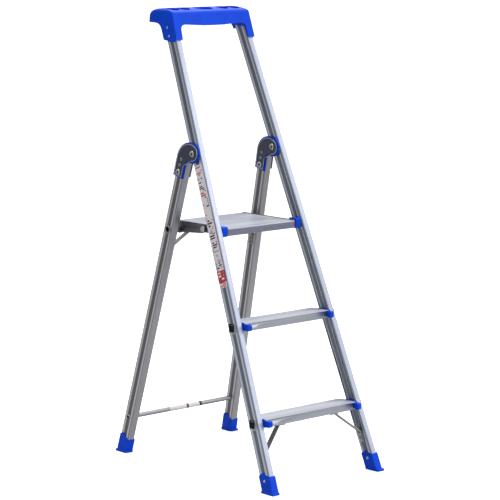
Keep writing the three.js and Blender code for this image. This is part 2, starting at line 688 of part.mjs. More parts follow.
function barLabel() {
  const { y, z } = barPlace(LOWER_BAR);
  const [near, far] = [LOWER_BAR.radius + GAP, LOWER_BAR.radius + GAP + 0.4];
  const shape = new THREE.Shape();
  shape.absarc(0, 0, far, deg(80), deg(235));
  shape.absarc(0, 0, near, deg(235), deg(80), true);
  shape.closePath();
  add(rearFrame, 'bar_label', alongX(shape, -52, 60, 8).translate(0, y, z), labelFilm());
}

const REAR_BRACE = { width: 14, thickness: 2.4, down: 268, tab: 24, inboard: 84 };

function rearBraceRivetPlaces(side) {
  return [REAR_BRACE.down + 6, REAR_BRACE.down + 18].map((down) => {
    const place = rearPoint(LEG_BEHIND_HINGE, down);
    place.x = side * (legMiddle(down) - LEG.width / 2 - 2 * GAP - REAR_BRACE.thickness - 0.3);
    return place;
  });
}

const rearBraceHoles = (side) => rearBraceRivetPlaces(side)
  .map(({ x, y, z }) => rod(2 + GAP, x - 6, x + 6, y, z));

function rearBrace(side, name) {
  const frame = legFrame(side);
  const { width, thickness, down, tab, inboard } = REAR_BRACE;
  const inner = -side * (LEG.width / 2 + GAP + thickness / 2);
  const plate = box(inner - thickness / 2, inner + thickness / 2, LEG_BEHIND_HINGE - width / 2,
    LEG_BEHIND_HINGE + width / 2, -down - tab, -down).applyMatrix4(frame);
  const bar = barPlace(UPPER_BAR);
  const under = bar.z - UPPER_BAR.radius - GAP - thickness / 2;
  const shelf = box(-11, 11, -width / 2, width / 2, -thickness / 2, thickness / 2)
    .translate(side * inboard, bar.y, under);
  const bend = rearPoint(LEG_BEHIND_HINGE, down + 1);
  bend.x = side * (legMiddle(down) - LEG.width / 2 - GAP - thickness / 2);
  const arm = strut(new THREE.Vector3(side * (inboard + 6), bar.y, under - 0.4), bend, width, thickness);
  const clear = rod(UPPER_BAR.radius + GAP, -200, 200, bar.y, bar.z);
  const body = cut(join(plate, shelf, arm), clear, ...rearBraceHoles(side));
  add(rearFrame, `${name}_rear_brace`, body, greySteel());
}

function spacerSleeve(side, name) {
  const { y, z } = barPlace(UPPER_BAR);
  const near = LINK.inner + LINK.thickness + GAP;
  const far = legMiddle(UPPER_BAR.down) - LEG.width / 2 - 1.2;
  const [bore, outer] = [UPPER_BAR.radius + GAP, UPPER_BAR.radius + 2.6];
  const ends = side > 0 ? [near, far] : [-far, -near];
  const sleeve = turned([
    [bore, ends[1]], [bore, ends[0]], [outer, ends[0]], [outer, ends[1]], [bore, ends[1]],
  ]);
  add(rearFrame, `${name}_spacer_sleeve`, sleeve.translate(0, y, z), darkSteel());
}

// ---------------------------------------------------------------- hinge body and plates
// Cheek outline in (y, z) of the leg's frame: a round lobe about the hinge, a wide arc over the top and
// back, and an arm down the leg. The margins shrink it, for the steel plates.
function cheekOutline(outerMargin = 0, innerMargin = 0, lobeMargin = innerMargin) {
  const lobe = CHEEK.lobe - lobeMargin;
  const back = CHEEK.back - outerMargin;
  const arc = CHEEK.arc - outerMargin;
  const inner = CHEEK.inner + innerMargin;
  const bottom = -CHEEK.bottom + innerMargin * 0.7;
  const shape = new THREE.Shape();
  shape.moveTo(inner, bottom + 3);
  shape.lineTo(inner, -38 - innerMargin * 0.6);
  shape.quadraticCurveTo(inner, -32 - innerMargin * 0.4, inner - 6, -29 + lobeMargin);
  shape.lineTo(lobe * Math.cos(deg(-108)), lobe * Math.sin(deg(-108)));
  shape.absarc(0, 0, lobe, deg(-108), deg(-250), true);
  shape.absarc(CHEEK.back - CHEEK.arc, -25, arc, deg(100), deg(0), true);
  shape.lineTo(back, bottom + 3);
  shape.quadraticCurveTo(back, bottom, back - 3, bottom);
  shape.lineTo(inner + 3, bottom);
  shape.quadraticCurveTo(inner, bottom, inner, bottom + 3);
  return shape;
}

// the blue body: one cheek, and a web that wraps the top and back of the joint and the back of the leg
function hingeBody(side, name) {
  const frame = legFrame(side);
  const inside = LEG.width / 2 + CHEEK.gap;
  const cheek = alongX(cheekOutline(), -inside - CHEEK.thickness, -inside, 8);
  const arcMiddle = [CHEEK.back - CHEEK.arc, -25];
  const thickness = 2.6;
  const web = new THREE.Shape();
  web.absarc(arcMiddle[0], arcMiddle[1], CHEEK.arc, deg(52), 0, true);
  web.lineTo(CHEEK.back, -CHEEK.bottom + 1);
  web.lineTo(CHEEK.back - thickness, -CHEEK.bottom + 1);
  web.absarc(arcMiddle[0], arcMiddle[1], CHEEK.arc - thickness, 0, deg(52));
  web.closePath();
  const back = alongX(web, -inside - 0.5, inside, 8);
  const pivot = inFrame(frame, rod(5.5 + GAP, -300, 300, HINGE.y, HINGE.z));
  const bore = rod(5.5 + GAP, -20, 20, LEG_RIVET.back, -LEG_RIVET.down);
  add(rearFrame, `${name}_hinge_body`, cut(join(cheek, back), pivot, bore), bluePlastic(), frame);

  const cover = alongX(cheekOutline(2.4, 4), -coverFace, -coverFace + PLATE.cover, 8);
  add(rearFrame, `${name}_hinge_cover`, cut(cover, pivot, bore), darkSteel(), frame);
  const backing = alongX(cheekOutline(0.5, 3.5, 9), backingFace - PLATE.backing, backingFace, 8);
  add(rearFrame, `${name}_hinge_backing`, cut(backing, pivot, bore), darkAluminium(), frame);
  const rivetTube = tubularRivet(3.5, 5.5, 8.5, coverFace + GAP, backingFace + GAP)
    .translate(0, LEG_RIVET.back, -LEG_RIVET.down);
  add(rearFrame, `${name}_leg_rivet`, rivetTube, brightSteel(), frame);
}

// ---------------------------------------------------------------- platform
// Deck profile in (y, z): front apron, ribbed top, two webs, a rest over the upper bar and a back lip.
function deckSection() {
  const { front, back, thickness, deck } = PLATFORM;
  const top = PLATFORM_TOP;
  const under = top - deck;
  const low = top - thickness;
  const rest = barPlace(UPPER_BAR);
  const shape = new THREE.Shape();
  shape.moveTo(front, low);
  shape.lineTo(front, top - 3);
  shape.quadraticCurveTo(front, top, front + 3, top);
  shape.lineTo(back - 3, top);
  shape.quadraticCurveTo(back, top, back, top - 3);
  shape.lineTo(back, low + 5);
  shape.lineTo(back - 3, low + 5);
  shape.lineTo(back - 3, under);
  shape.lineTo(rest.y + 7, under);
  shape.lineTo(rest.y + 4, rest.z + UPPER_BAR.radius + 0.6);
  shape.lineTo(rest.y - 4, rest.z + UPPER_BAR.radius + 0.6);
  shape.lineTo(rest.y - 7, under);
  for (const web of [395, 345, 300]) {
    shape.lineTo(web + 1.3, under);
    shape.lineTo(web + 1.3, low + 4);
    shape.lineTo(web - 1.3, low + 4);
    shape.lineTo(web - 1.3, under);
  }
  shape.lineTo(front + 3, under);
  shape.lineTo(front + 3, low);
  shape.closePath();
  return shape;
}

function buildPlatform() {
  const { side: outer, plate, front, back, thickness } = PLATFORM;
  const half = outer - plate - GAP;
  add(platform, 'platform_deck', alongX(deckSection(), -half, half, 4), aluminium());
  const bar = barPlace(UPPER_BAR);
  const away = new THREE.Vector2(-0.5, -0.86).multiplyScalar(24);
  const notch = new THREE.Shape();
  const clear = UPPER_BAR.radius + 1.2;
  const heading = Math.atan2(away.y, away.x);
  notch.absarc(bar.y, bar.z, clear, heading + Math.PI / 2, heading + 1.5 * Math.PI);
  notch.absarc(bar.y + away.x, bar.z + away.y, clear, heading - Math.PI / 2, heading + Math.PI / 2);
  notch.closePath();
  const outlineShape = roundedRectangle(front, PLATFORM_TOP - thickness, back, PLATFORM_TOP + 1.5, 3);
  for (const [name, side] of SIDES) {
    const from = side > 0 ? outer - plate : -outer;
    const sheet = alongX(outlineShape, from, from + plate, 3);
    const hole = rod(4 + GAP, -200, 200, PLATFORM_PIN.y, PLATFORM_PIN.z);
    add(platform, `${name}_platform_side`, cut(sheet, hole, alongX(notch, -200, 200, 8)), darkAluminium());
  }
}

// ---------------------------------------------------------------- side links
// The bar hangs a little below the line of its pivots, with a round eye at each end.
function sideLink(side, name) {
  const bar = barPlace(UPPER_BAR);
  const [near, far] = side > 0
    ? [LINK.inner, LINK.inner + LINK.thickness]
    : [-LINK.inner - LINK.thickness, -LINK.inner];
  const slope = (bar.z - LINK_PIVOT.z) / (bar.y - LINK_PIVOT.y);
  const bottom = (y) => LINK_PIVOT.z + slope * (y - LINK_PIVOT.y) - LINK.drop - LINK.height / 2;
  const strip = alongX(outline([
    [LINK_PIVOT.y, bottom(LINK_PIVOT.y)], [bar.y, bottom(bar.y)],
    [bar.y, bottom(bar.y) + LINK.height], [LINK_PIVOT.y, bottom(LINK_PIVOT.y) + LINK.height],
  ]), near, far);
  const frontEye = rod(9.5, near, far, LINK_PIVOT.y, LINK_PIVOT.z);
  const rearEye = rod(UPPER_BAR.radius + 4, near, far, bar.y, bar.z);
  const holes = [rod(4 + GAP, near - 5, far + 5, LINK_PIVOT.y, LINK_PIVOT.z),
    rod(UPPER_BAR.radius + GAP, near - 5, far + 5, bar.y, bar.z)];
  add(links, `${name}_side_link`, cut(join(strip, frontEye, rearEye), ...holes), darkAluminium());
  const start = PLATFORM.side + GAP;
  const head = LINK.inner + LINK.thickness + GAP;
  const pin = turned([[0, start], [4, start], [4, head], [8, head], [8, head + 1], [6.5, head + 2.6],
    [2.5, head + 2.6], [2, head + 1], [0, head + 1]]);
  const faced = side > 0 ? pin : pin.rotateZ(Math.PI);
  add(links, `${name}_link_rivet`, faced.translate(0, LINK_PIVOT.y, LINK_PIVOT.z), brightSteel());
}

// ---------------------------------------------------------------- assembly
tread('lower_tread', FIRST_TREAD_TOP);
tread('middle_tread', FIRST_TREAD_TOP + RISE);
tray();
railLabel();
rearBar('upper_rear_bar', UPPER_BAR);
rearBar('lower_rear_bar', LOWER_BAR);
barLabel();
buildPlatform();
for (const [name, side] of SIDES) {
  rail(side);
  frontFoot(side);
  treadBrace(side, name);
  hingeRivet(side, name);
  platformBlock(side, name);
  leg(side, name);
  rearFoot(side, name);
  rearBrace(side, name);
  spacerSleeve(side, name);
  hingeBody(side, name);
  sideLink(side, name);
}

const stepStool = new THREE.Group();
stepStool.add(frontFrame, rearFrame, platform, links);
stepStool.position.y = -(FRONT_SOLE.front + REAR_SOLE.back) / 2;

export default stepStool;
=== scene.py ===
# Looks of the folding platform step stool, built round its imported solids.
# Metres, +Z up, -Y the side the user climbs.
import math

import bmesh
import bpy
from mathutils import Matrix, Vector


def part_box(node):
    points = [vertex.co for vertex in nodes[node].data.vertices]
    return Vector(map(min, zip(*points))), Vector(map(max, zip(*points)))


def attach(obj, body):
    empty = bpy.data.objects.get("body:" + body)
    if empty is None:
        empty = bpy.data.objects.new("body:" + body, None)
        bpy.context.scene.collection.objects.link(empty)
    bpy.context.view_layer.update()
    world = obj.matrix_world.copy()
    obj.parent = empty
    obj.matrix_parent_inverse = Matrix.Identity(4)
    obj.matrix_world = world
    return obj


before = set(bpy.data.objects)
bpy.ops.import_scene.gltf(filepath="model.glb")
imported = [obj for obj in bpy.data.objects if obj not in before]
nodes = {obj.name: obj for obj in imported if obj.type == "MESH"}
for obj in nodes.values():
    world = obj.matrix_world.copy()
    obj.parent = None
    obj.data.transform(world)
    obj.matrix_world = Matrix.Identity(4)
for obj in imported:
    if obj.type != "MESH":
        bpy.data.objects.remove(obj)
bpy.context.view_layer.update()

MM = 0.001
SIDES = (("left", -1), ("right", 1))
ORIGIN_Y = 311.5  # from the rails' front faces at the floor to the middle of the footprint, in mm
HINGE_SPACING = 136.3  # of the rails' and legs' middle planes at the hinge, to each side, in mm
RAIL = {"lean": math.radians(-21.8), "taper": math.radians(2.8), "at": (348.18 - ORIGIN_Y, 822.05)}
LEG = {"lean": math.radians(14.6), "taper": math.radians(3.2), "at": (353.29 - ORIGIN_Y, 820.0)}
COVER_FACE = 16.6  # of the hinge covers' outer face, from the leg's middle plane, in mm


def member_frame(member, side):
    """Turn and place of a rail or leg: its Z runs up the member and its X across it. Metres."""
    turn = Matrix.Rotation(member["lean"], 4, "X") @ Matrix.Rotation(-side * member["taper"], 4, "Y")
    y, z = member["at"]
    return Matrix.Translation((side * HINGE_SPACING * MM, y * MM, z * MM)) @ turn


# ------------------------------------------------------------------ node helpers


def link(tree, source, target):
    tree.links.new(source, target)


def new_group(name, inputs, outputs):
    """An empty shader node group: inputs and outputs are (name, socket type, default)."""
    tree = bpy.data.node_groups.new(name, "ShaderNodeTree")
    for label, kind, default in inputs:
        socket = tree.interface.new_socket(label, in_out="INPUT", socket_type=kind)
        if default is not None:
            socket.default_value = default
    for label, kind in outputs:
        tree.interface.new_socket(label, in_out="OUTPUT", socket_type=kind)
    return tree, tree.nodes.new("NodeGroupInput"), tree.nodes.new("NodeGroupOutput")


def math_node(tree, operation, first, second=None, clamp=False):
    node = tree.nodes.new("ShaderNodeMath")
    node.operation = operation
    node.use_clamp = clamp
    for socket, value in zip(node.inputs, (first, second)):
        if value is None:
            continue
        if isinstance(value, (int, float)):
            socket.default_value = value
        else:
            link(tree, value, socket)
    return node.outputs[0]


def map_range(tree, value, low, high, to_low=0.0, to_high=1.0):
    node = tree.nodes.new("ShaderNodeMapRange")
    node.interpolation_type = "SMOOTHSTEP"
    link(tree, value, node.inputs["Value"])
    for label, number in (("From Min", low), ("From Max", high), ("To Min", to_low), ("To Max", to_high)):
        node.inputs[label].default_value = number
    return node.outputs["Result"]


def mix_colour(tree, factor, first, second):
    node = tree.nodes.new("ShaderNodeMix")
    node.data_type = "RGBA"
    for socket, value in ((node.inputs[0], factor), (node.inputs[6], first), (node.inputs[7], second)):
        if isinstance(value, (int, float)):
            socket.default_value = value
        elif isinstance(value, tuple):
            socket.default_value = (*value, 1.0) if len(value) == 3 else value
        else:
            link(tree, value, socket)
    return node.outputs[2]


def noise(tree, vector, scale, detail=3.0, roughness=0.55):
    node = tree.nodes.new("ShaderNodeTexNoise")
    node.inputs["Scale"].default_value = scale
    node.inputs["Detail"].default_value = detail
    node.inputs["Roughness"].default_value = roughness
    link(tree, vector, node.inputs["Vector"])
    return node.outputs["Fac"]


def scaled(tree, vector, scale):
    node = tree.nodes.new("ShaderNodeVectorMath")
    node.operation = "MULTIPLY"
    link(tree, vector, node.inputs[0])
    node.inputs[1].default_value = scale
    return node.outputs[0]


# ------------------------------------------------------------------ shared effects


def build_drawn_metal():
    """Die lines and cloudy oxide on an extrusion or drawn strip that runs along the vector's Z."""
    tree, start, end = new_group(
        "drawn_metal",
        [("Vector", "NodeSocketVector", None)],
        [("Lines", "NodeSocketFloat"), ("Cloud", "NodeSocketFloat"), ("Smudge", "NodeSocketFloat")],
    )
    vector = start.outputs["Vector"]
    broad = noise(tree, scaled(tree, vector, (330, 330, 0.8)), 1.0, 2.0)
    fine = noise(tree, scaled(tree, vector, (1500, 1500, 2.5)), 1.0, 1.0)
    broad_share = math_node(tree, "MULTIPLY", broad, 0.65)
    fine_share = math_node(tree, "MULTIPLY", fine, 0.35)
    link(tree, math_node(tree, "ADD", broad_share, fine_share), end.inputs["Lines"])
    link(tree, noise(tree, scaled(tree, vector, (30, 30, 2.2)), 1.0, 3.0), end.inputs["Cloud"])
    blotch = noise(tree, scaled(tree, vector, (60, 60, 16)), 1.0, 4.0)
    link(tree, map_range(tree, blotch, 0.58, 0.8), end.inputs["Smudge"])
    return tree


def build_moulded_grain():
    """Fine spark-eroded grain of a moulded part, with slow colour drift and a few rubbed spots."""
    tree, start, end = new_group(
        "moulded_grain",
        [("Vector", "NodeSocketVector", None), ("Grain Size", "NodeSocketFloat", 1.0)],
        [("Grain", "NodeSocketFloat"), ("Drift", "NodeSocketFloat"), ("Rubbed", "NodeSocketFloat")],
    )
    vector = start.outputs["Vector"]
    grain = tree.nodes.new("ShaderNodeTexNoise")
    grain.inputs["Detail"].default_value = 3.0
    link(tree, vector, grain.inputs["Vector"])
    link(tree, math_node(tree, "DIVIDE", 1500.0, start.outputs["Grain Size"]), grain.inputs["Scale"])
    link(tree, grain.outputs["Fac"], end.inputs["Grain"])
    link(tree, noise(tree, vector, 14.0, 3.0), end.inputs["Drift"])
    link(tree, map_range(tree, noise(tree, vector, 62.0, 6.0, 0.7), 0.6, 0.72), end.inputs["Rubbed"])
    return tree


def build_scuffs():
    """Sparse short scratches and rubbed spots, for parts that are knocked and handled."""
    tree, start, end = new_group(
        "scuffs",
        [("Vector", "NodeSocketVector", None), ("Amount", "NodeSocketFloat", 1.0)],
        [("Scuff", "NodeSocketFloat")],
    )
    vector = start.outputs["Vector"]
    scratch = map_range(tree, noise(tree, scaled(tree, vector, (90, 420, 420)), 1.0, 2.0), 0.66, 0.74)
    patch = map_range(tree, noise(tree, vector, 24.0, 3.0), 0.5, 0.66)
    both = math_node(tree, "MULTIPLY", scratch, patch)
    link(tree, math_node(tree, "MULTIPLY", both, start.outputs["Amount"], clamp=True), end.inputs["Scuff"])
    return tree


def build_section_bands():
    """Masks of the sunk middle, the raised ribs and the outer steps of a rail's or leg's side faces, where
    painted shade and a painted highlight are laid.
    """
    tree, start, end = new_group(
        "section_bands",
        [("Vector", "NodeSocketVector", None), ("Middle", "NodeSocketFloat", 0.0),
         ("Half Width", "NodeSocketFloat", 0.006), ("Rib Outer", "NodeSocketFloat", 0.0142)],
        [("Sunk", "NodeSocketFloat"), ("Crest", "NodeSocketFloat"), ("Step", "NodeSocketFloat")],
    )
    split = tree.nodes.new("ShaderNodeSeparateXYZ")
    link(tree, start.outputs["Vector"], split.inputs[0])
    from_middle = math_node(tree, "SUBTRACT", split.outputs["Y"], start.outputs["Middle"])
    across = math_node(tree, "ABSOLUTE", from_middle)
    past_groove = math_node(tree, "SUBTRACT", across, start.outputs["Half Width"])
    past_rib = math_node(tree, "SUBTRACT", across, start.outputs["Rib Outer"])
    sunk = map_range(tree, past_groove, -0.0009, 0.0002, 1.0, 0.0)
    on_rib = map_range(tree, past_groove, 0.0002, 0.0014, 0.0, 1.0)
    crest = math_node(tree, "MULTIPLY", on_rib, map_range(tree, past_rib, -0.0014, -0.0004, 1.0, 0.0))
    from_step = math_node(tree, "ABSOLUTE", math_node(tree, "SUBTRACT", past_rib, 0.0004))
    step = map_range(tree, from_step, 0.0, 0.0011, 1.0, 0.0)
    link(tree, sunk, end.inputs["Sunk"])
    link(tree, crest, end.inputs["Crest"])
    link(tree, step, end.inputs["Step"])
    return tree


def build_printed_marks():
    """Rows of short plain dashes along the vector's Z: the look of small print, with nothing to read."""
    tree, start, end = new_group(
        "printed_marks",
        [("Vector", "NodeSocketVector", None), ("Row", "NodeSocketFloat", 0.0024),
         ("Dash", "NodeSocketFloat", 0.0036), ("Cover", "NodeSocketFloat", 0.45)],
        [("Ink", "NodeSocketFloat"), ("Along", "NodeSocketFloat")],
    )
    split = tree.nodes.new("ShaderNodeSeparateXYZ")
    link(tree, start.outputs["Vector"], split.inputs[0])
    along = math_node(tree, "DIVIDE", split.outputs["Z"], start.outputs["Row"])
    across = math_node(tree, "DIVIDE", split.outputs["Y"], start.outputs["Dash"])
    cell = tree.nodes.new("ShaderNodeCombineXYZ")
    link(tree, math_node(tree, "FLOOR", along), cell.inputs["X"])
    link(tree, math_node(tree, "FLOOR", across), cell.inputs["Y"])
    chance = tree.nodes.new("ShaderNodeTexWhiteNoise")
    chance.noise_dimensions = "2D"
    link(tree, cell.outputs[0], chance.inputs["Vector"])
    printed = math_node(tree, "LESS_THAN", chance.outputs["Value"], start.outputs["Cover"])
    in_row = math_node(tree, "LESS_THAN", math_node(tree, "FRACT", along), 0.6)
    in_margin = math_node(tree, "LESS_THAN", math_node(tree, "ABSOLUTE", split.outputs["Y"]), 0.0115)
    ink = math_node(tree, "MULTIPLY", math_node(tree, "MULTIPLY", printed, in_row), in_margin)
    link(tree, ink, end.inputs["Ink"])
    link(tree, split.outputs["Z"], end.inputs["Along"])
    return tree


DRAWN_METAL = build_drawn_metal()
PRINTED_MARKS = build_printed_marks()
MOULDED_GRAIN = build_moulded_grain()
SCUFFS = build_scuffs()
SECTION_BANDS = build_section_bands()


class Material:
    """A Principled material with its coordinates turned so that Z runs along the piece."""

    def __init__(self, name, place=None):
        self.material = bpy.data.materials.new(name)
        self.material.use_nodes = True
        self.tree = self.material.node_tree
        self.shader = self.tree.nodes["Principled BSDF"]
        coordinates = self.tree.nodes.new("ShaderNodeTexCoord")
        self.vector = coordinates.outputs["Object"]
        if place is not None:
            mapping = self.tree.nodes.new("ShaderNodeMapping")
            mapping.vector_type = "TEXTURE"
            mapping.inputs["Location"].default_value = place.to_translation()
            mapping.inputs["Rotation"].default_value = place.to_euler("XYZ")
            link(self.tree, self.vector, mapping.inputs["Vector"])
            self.vector = mapping.outputs["Vector"]

    def group(self, tree, **values):
        node = self.tree.nodes.new("ShaderNodeGroup")
        node.node_tree = tree
        link(self.tree, self.vector, node.inputs["Vector"])
        for label, value in values.items():
            node.inputs[label.replace("_", " ")].default_value = value
        return node.outputs

    def set(self, **values):
        for label, value in values.items():
            socket = self.shader.inputs[label.replace("_", " ")]
            if isinstance(value, tuple):
                socket.default_value = (*value, 1.0)
            elif isinstance(value, (int, float)):
                socket.default_value = value
            else:
                link(self.tree, value, socket)

    def bump(self, height, distance, strength=1.0):
        node = self.tree.nodes.new("ShaderNodeBump")
        node.inputs["Distance"].default_value = distance
        node.inputs["Strength"].default_value = strength
        link(self.tree, height, node.inputs["Height"])
        link(self.tree, node.outputs["Normal"], self.shader.inputs["Normal"])


def aluminium(name, bright, dull, rough, place=None, band=None, rib=None):
    """Extruded aluminium: cloudy natural oxide, die lines along its length, a few dull smudges. Given a
    band, the side faces also get a painted highlight on the rib crests and painted shade in the groove and
    the outer steps.
    """
    made = Material(name, place)
    tree = made.tree
    metal = made.group(DRAWN_METAL)
    base = mix_colour(tree, map_range(tree, metal["Cloud"], 0.3, 0.7), dull, bright)
    smudge = math_node(tree, "MULTIPLY", metal["Smudge"], 0.3)
    base = mix_colour(tree, smudge, base, tuple(c * 0.8 for c in dull))
    die_line = math_node(tree, "MULTIPLY", map_range(tree, metal["Lines"], 0.42, 0.62), 0.22)
    base = mix_colour(tree, die_line, base, tuple(min(1.0, c * 1.15) for c in bright))
    roughness = map_range(tree, metal["Lines"], 0.35, 0.65, rough - 0.05, rough + 0.06)
    if band is not None:
        bands = made.group(SECTION_BANDS, Middle=band, Rib_Outer=rib)
        # Painted highlight on the rib crests; painted shade in the sunk groove and in the outer steps.
        painted_highlight_and_shade = (
            ("Crest", 0.75, tuple(min(1.0, c * 1.7) for c in bright)),
            ("Sunk", 0.8, tuple(c * 0.36 for c in dull)),
            ("Step", 0.75, tuple(c * 0.3 for c in dull)),
        )
        for band_name, share, shade in painted_highlight_and_shade:
            base = mix_colour(tree, math_node(tree, "MULTIPLY", bands[band_name], share), base, shade)
    made.set(Base_Color=base, Roughness=roughness)
    made.set(Metallic=0.9)
    made.bump(metal["Lines"], 0.00002, 0.5)
    return made.material


def moulded_plastic(name, colour, rough):
    """Moulded polypropylene: fine grain, slow drift of shade, scuffed spots."""
    made = Material(name)
    tree = made.tree
    grain = made.group(MOULDED_GRAIN, Grain_Size=1.0)
    scuffs = made.group(SCUFFS, Amount=0.5)
    dark = tuple(c * 0.8 for c in colour)
    pale = tuple(c * 0.85 + 0.05 for c in colour)
    base = mix_colour(tree, map_range(tree, grain["Drift"], 0.3, 0.7), dark, colour)
    base = mix_colour(tree, math_node(tree, "MULTIPLY", grain["Rubbed"], 0.1), base, pale)
    base = mix_colour(tree, scuffs["Scuff"], base, pale)
    roughness = map_range(tree, grain["Grain"], 0.3, 0.7, rough - 0.05, rough + 0.08)
    made.set(Base_Color=base, Roughness=roughness)
    made.set(Specular_IOR_Level=0.16, IOR=1.45)
    made.bump(grain["Grain"], 0.00004, 0.4)
    return made.material


def plated_steel(name, colour, rough, metallic=0.9):
    """Small plated or painted steel part: fine mottling and scratches through to brighter metal."""
    made = Material(name)
    tree = made.tree
    grain = made.group(MOULDED_GRAIN, Grain_Size=0.7)
    scuffs = made.group(SCUFFS, Amount=0.9)
    light = tuple(min(1.0, c * 1.12) for c in colour)
    base = mix_colour(tree, grain["Drift"], tuple(c * 0.8 for c in colour), light)
    base = mix_colour(tree, scuffs["Scuff"], base, tuple(c * 0.5 + 0.3 for c in colour))
    roughness = map_range(tree, grain["Grain"], 0.3, 0.7, rough - 0.06, rough + 0.08)
    made.set(Base_Color=base, Roughness=roughness)
    made.set(Metallic=metallic)
    made.bump(grain["Grain"], 0.00002, 0.3)
    return made.material


def step_mask(tree, value, low, high):
    """1 where the value lies between low and high."""
    above = math_node(tree, "GREATER_THAN", value, low)
    return math_node(tree, "MULTIPLY", above, math_node(tree, "LESS_THAN", value, high))


def printed_film(name, place, bands):
    """White film with rows of plain marks; bands are (from, to along the film, ground, ink, cover, row)."""
    made = Material(name, place)
    tree = made.tree
    base = WHITE
    for low, high, ground, ink, cover, row in bands:
        marks = made.group(PRINTED_MARKS, Cover=cover, Row=row * MM, Dash=1.3 * row * MM)
        zone = step_mask(tree, marks["Along"], low * MM, high * MM)
        inked = mix_colour(tree, marks["Ink"], ground, ink)
        base = mix_colour(tree, zone, base, inked)
    grain = made.group(MOULDED_GRAIN, Grain_Size=2.0)
    made.set(Base_Color=base, Roughness=map_range(tree, grain["Drift"], 0.3, 0.7, 0.3, 0.42))
    made.bump(grain["Grain"], 0.00002, 0.2)
    return made.material


# Of the side faces: the middle of the groove, and from there to the outer edge of the ribs. These place the
# painted shade in the groove and steps and the painted highlight on the ribs.
RAIL_BAND = {"middle": 0.0, "rib": 0.0142}
LEG_BAND = {"middle": 0.0375, "rib": 0.0132}
ALONG_X = Matrix.Rotation(math.pi / 2, 4, "Y")
WHITE = (0.86, 0.8, 0.83)
BLACK = (0.02, 0.02, 0.025)
RED = (0.55, 0.03, 0.035)
GREY = (0.3, 0.27, 0.31)
RAIL_PRINT = (
    (-356, -342, WHITE, RED, 0.75, 4), (-342, -312, RED, WHITE, 0.3, 8),
    (-312, -286, WHITE, BLACK, 0.72, 6), (-286, -262, WHITE, GREY, 0.35, 3.5),
    (-262, -214, WHITE, BLACK, 0.6, 6), (-214, -196, WHITE, GREY, 0.35, 3.5),
    (-196, -172, WHITE, BLACK, 0.6, 7), (-172, -150, WHITE, RED, 0.3, 5),
    (-150, -118, WHITE, BLACK, 0.36, 6), (-118, -104, WHITE, RED, 0.42, 6),
    (-104, -64, WHITE, BLACK, 0.3, 5), (-64, -36, WHITE, RED, 0.3, 5),
)
BAR_PRINT = (
    (-52, 7, WHITE, GREY, 0.2, 3.5), (7, 14, BLACK, BLACK, 0.0, 3), (14, 52, WHITE, RED, 0.7, 4),
    (52, 60, BLACK, BLACK, 0.0, 3),
)
RAIL_METAL = {
    name: aluminium(f"{name}_rail_anodised", (0.5, 0.545, 0.66), (0.4, 0.43, 0.53), 0.34,
                    member_frame(RAIL, side), RAIL_BAND["middle"], RAIL_BAND["rib"])
    for name, side in SIDES
}
LEG_METAL = {
    name: aluminium(f"{name}_leg_mill_finish", (0.52, 0.52, 0.54), (0.38, 0.38, 0.4), 0.4,
                    member_frame(LEG, side), LEG_BAND["middle"], LEG_BAND["rib"])
    for name, side in SIDES
}
TREAD_METAL = aluminium("tread_satin", (0.56, 0.58, 0.64), (0.45, 0.47, 0.53), 0.38, ALONG_X)
BAR_METAL = aluminium("bar_tube", (0.48, 0.48, 0.51), (0.34, 0.34, 0.37), 0.3, ALONG_X)
STRIP_METAL = aluminium("flat_bar", (0.26, 0.26, 0.28), (0.16, 0.16, 0.18), 0.4)
BLUE_PLASTIC = moulded_plastic("blue_moulding", (0.0, 0.07, 0.78), 0.28)
HINGE_STEEL = plated_steel("gunmetal_plate", (0.11, 0.12, 0.17), 0.34)
# A much brighter copy of the cover's steel for its rolled bead: a painted highlight.
RIM_HIGHLIGHT_STEEL = plated_steel("rolled_rim_painted_highlight", (0.5, 0.55, 0.72), 0.24)
BRIGHT_STEEL = plated_steel("zinc_plated", (0.66, 0.67, 0.7), 0.24)
# A darker copy of the aluminium for the platform's front band: painted shade of that face.
APRON_SHADED_METAL = aluminium("apron_painted_shade", (0.23, 0.235, 0.31), (0.18, 0.18, 0.24), 0.42, ALONG_X)
PLUG_BLACK = moulded_plastic("black_plug", (0.012, 0.012, 0.014), 0.5)
BRACE_STEEL = plated_steel("galvanised_strip", (0.36, 0.36, 0.35), 0.4)
RAIL_LABEL = printed_film("rail_label_print", member_frame(RAIL, -1), RAIL_PRINT)
BAR_LABEL = printed_film("bar_label_print", ALONG_X, BAR_PRINT)

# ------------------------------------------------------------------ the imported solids


WELD_DISTANCE = 0.00002
FLAT_ANGLE = math.radians(0.6)  # faces that turn by less than this are one flat face
EDGE_ANGLE = math.radians(32.0)  # edges that turn by more than this are rounded
CRISP_ANGLE = math.radians(10.0)  # and on an extrusion, by more than this are shaded sharp


def soften(piece, width, smooth):
    """Rounds the edges of a solid by a small radius; moulded pieces are shaded smooth between."""
    weld = piece.modifiers.new("weld", "WELD")
    weld.merge_threshold = WELD_DISTANCE
    flat = piece.modifiers.new("flat_faces", "DECIMATE")
    flat.decimate_type = "DISSOLVE"
    flat.angle_limit = FLAT_ANGLE
    bevel = piece.modifiers.new("edge_radius", "BEVEL")
    bevel.width = width
    bevel.segments = 2
    bevel.limit_method = "ANGLE"
    bevel.angle_limit = EDGE_ANGLE
    bevel.miter_outer = "MITER_ARC"
    for polygon in piece.data.polygons:
        polygon.use_smooth = True
    if not smooth:
        crisp = piece.modifiers.new("crisp_edges", "EDGE_SPLIT")
        crisp.split_angle = CRISP_ANGLE
    normals = piece.modifiers.new("even_shading", "WEIGHTED_NORMAL")
    normals.keep_sharp = True


def finish_node(name, material, radius, smooth=True):
    piece = nodes[name]
    for slot in piece.material_slots:
        slot.material = material
    if radius:
        soften(piece, radius, smooth)


